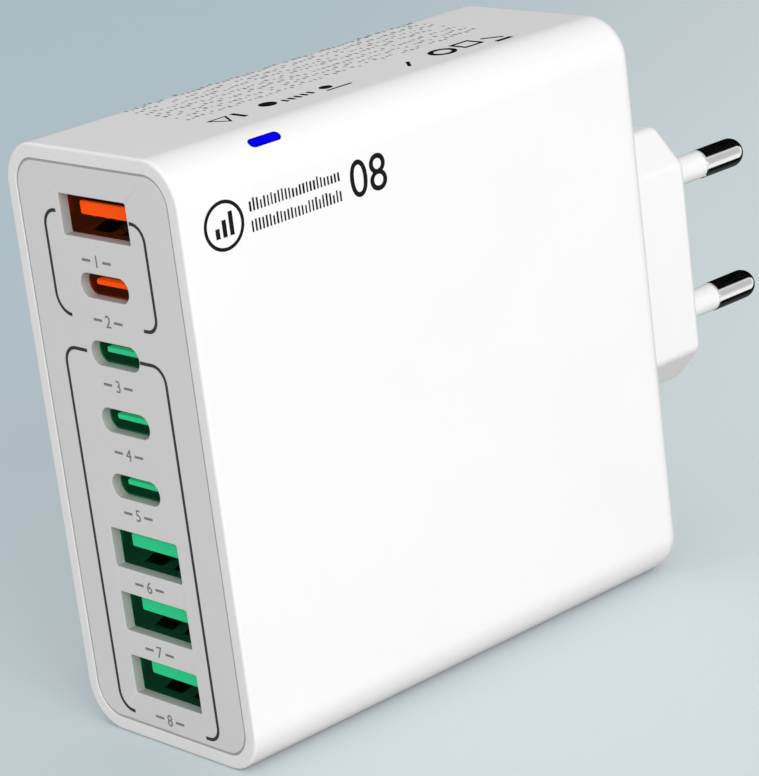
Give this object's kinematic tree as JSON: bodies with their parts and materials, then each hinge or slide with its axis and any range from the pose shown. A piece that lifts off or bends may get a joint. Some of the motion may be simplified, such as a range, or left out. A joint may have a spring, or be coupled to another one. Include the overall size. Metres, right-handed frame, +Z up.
{
  "type": "multi port usb wall charger",
  "caption": "Upright wall charger block with a grey front panel, a column of large and small USB sockets, a blue indicator and a two-pin mains plug.",
  "frame": {"origin": "centre of the housing's bottom face, the narrow side that the charger stands on", "axes": "+Z up along the column of sockets, -Y out of the sockets, +Y along the plug's pins, +X towards the broad side by the indicator"},
  "size_m": [0.032, 0.1105, 0.075],
  "materials": {
    "white_housing": "satin moulded polycarbonate",
    "grey_panel": "fine moulded grain",
    "blue_window": "clear tinted, lit",
    "led_chip": "moulded with yellow phosphor",
    "holder_plastic": "moulded",
    "pin_metal": "polished nickel plate",
    "sleeve_plastic": "moulded",
    "brown_lead": "extruded PVC",
    "blue_lead": "extruded PVC",
    "circuit_board": "solder mask over glass fibre",
    "black_plastic": "moulded",
    "fuse_body": "moulded",
    "ferrite": "sintered and ground",
    "copper_wire": "enamelled copper",
    "winding_tape": "polyester tape over copper",
    "yellow_box": "moulded",
    "blue_disc": "dipped epoxy",
    "dark_can": "sleeved can",
    "bare_can": "drawn can",
    "heatsink_plate": "mill finish",
    "socket_metal": "nickel-plated sheet",
    "orange_tongue": "moulded",
    "green_tongue": "moulded",
    "contact_metal": "gold-plated bronze"
  },
  "bodies": {
    "root": {"housing": "white_housing", "front_panel": "grey_panel", "indicator_lens": "blue_window", "indicator_led": "led_chip", "pin_holder": "holder_plastic", "live_pin": "pin_metal", "neutral_pin": "pin_metal", "live_sleeve": "sleeve_plastic", "neutral_sleeve": "sleeve_plastic", "live_lead": "brown_lead", "neutral_lead": "blue_lead", "port_board": "circuit_board", "main_board": "circuit_board", "board_header": "black_plastic", "fuse": "fuse_body", "bridge_rectifier": "black_plastic", "choke_core": "ferrite", "choke_winding": "copper_wire", "x_capacitor": "yellow_box", "y_capacitor": "blue_disc", "bulk_capacitors": "dark_can", "transformer_core": "ferrite", "transformer_bobbin": "black_plastic", "transformer_winding": "winding_tape", "heatsink": "heatsink_plate", "switch_transistor": "black_plastic", "output_capacitors": "bare_can", "output_coils": "ferrite", "protocol_chips": "black_plastic", "usb_a_shell_1": "socket_metal", "usb_c_shell_2": "socket_metal", "usb_c_shell_3": "socket_metal", "usb_c_shell_4": "socket_metal", "usb_c_shell_5": "socket_metal", "usb_a_shell_6": "socket_metal", "usb_a_shell_7": "socket_metal", "usb_a_shell_8": "socket_metal", "usb_a_tongue_1": "orange_tongue", "usb_c_tongue_2": "orange_tongue", "usb_c_tongue_3": "green_tongue", "usb_c_tongue_4": "green_tongue", "usb_c_tongue_5": "green_tongue", "usb_a_tongue_6": "green_tongue", "usb_a_tongue_7": "green_tongue", "usb_a_tongue_8": "green_tongue", "usb_a_contacts_1": "contact_metal", "usb_c_contacts_2": "contact_metal", "usb_c_contacts_3": "contact_metal", "usb_c_contacts_4": "contact_metal", "usb_c_contacts_5": "contact_metal", "usb_a_contacts_6": "contact_metal", "usb_a_contacts_7": "contact_metal", "usb_a_contacts_8": "contact_metal"}
  },
  "joints": []
}
